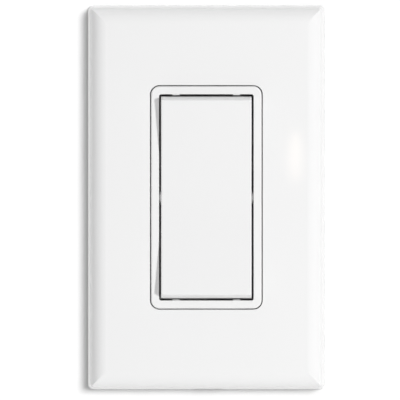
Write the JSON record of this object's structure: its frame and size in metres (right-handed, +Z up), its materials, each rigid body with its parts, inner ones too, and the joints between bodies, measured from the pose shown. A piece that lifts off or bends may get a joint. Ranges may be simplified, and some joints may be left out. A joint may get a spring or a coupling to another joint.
{
  "type": "wireless remote wall switch",
  "caption": "Wireless remote wall switch: a screwless cover plate and bezel around a dished rocker that tips about its middle and returns level, over a self-powered radio module.",
  "frame": {"origin": "middle of the back face, on the wall, halfway between the two box screw holes", "axes": "+Z up the wall, +Y into the wall, +X to the right seen from the front"},
  "size_m": [0.0704, 0.0133, 0.1142],
  "materials": {
    "plate_plastic": "moulded white, glossy",
    "bezel_plastic": "moulded white, satin",
    "rocker_plastic": "moulded white, satin",
    "back_plastic": "moulded off-white, matt",
    "screw_steel": "zinc plated",
    "module_plastic": "moulded grey, matt",
    "bow_plastic": "moulded black, matt",
    "spring_steel": "rolled spring strip",
    "core_iron": "stamped soft iron",
    "magnet_ferrite": "sintered, dark",
    "coil_copper": "enamelled copper wire",
    "contact_tin": "tinned",
    "board_laminate": "solder mask, green",
    "chip_epoxy": "moulded epoxy",
    "capacitor_ceramic": "ceramic"
  },
  "bodies": {
    "switch_body": {"wall_plate": "plate_plastic", "bezel_frame": "bezel_plastic", "back_plate": "back_plastic", "bezel_screws": "screw_steel", "bow_pivot_pins": "screw_steel", "module_base": "module_plastic", "radio_cover": "module_plastic", "coil_bobbin": "bow_plastic", "centring_springs": "spring_steel", "coil_core": "core_iron", "magnet": "magnet_ferrite", "coil_winding": "coil_copper", "coil_terminals": "contact_tin", "crystal": "contact_tin", "antenna": "contact_tin", "circuit_board": "board_laminate", "radio_chip": "chip_epoxy", "rectifier": "chip_epoxy", "storage_capacitors": "capacitor_ceramic"},
    "rocker": {"rocker": "rocker_plastic"},
    "bow": {"energy_bow": "bow_plastic", "armature": "core_iron"}
  },
  "joints": [
    {"name": "rocker_tilt", "type": "hinge", "parent": "switch_body", "child": "rocker", "pos_m": [0, -0.0076, 0], "axis": [1, 0, 0], "range_deg": [-4.5, 4.5], "stiffness_Nm_per_rad": 2.2},
    {"name": "bow_tilt", "type": "hinge", "parent": "switch_body", "child": "bow", "pos_m": [0, -0.00655, 0], "axis": [1, 0, 0], "range_deg": [-4.5, 4.5], "deforming": ["centring_springs"]}
  ],
  "couplings": [
    {"joint": "bow_tilt", "follows": "rocker_tilt", "ratio": 1}
  ]
}
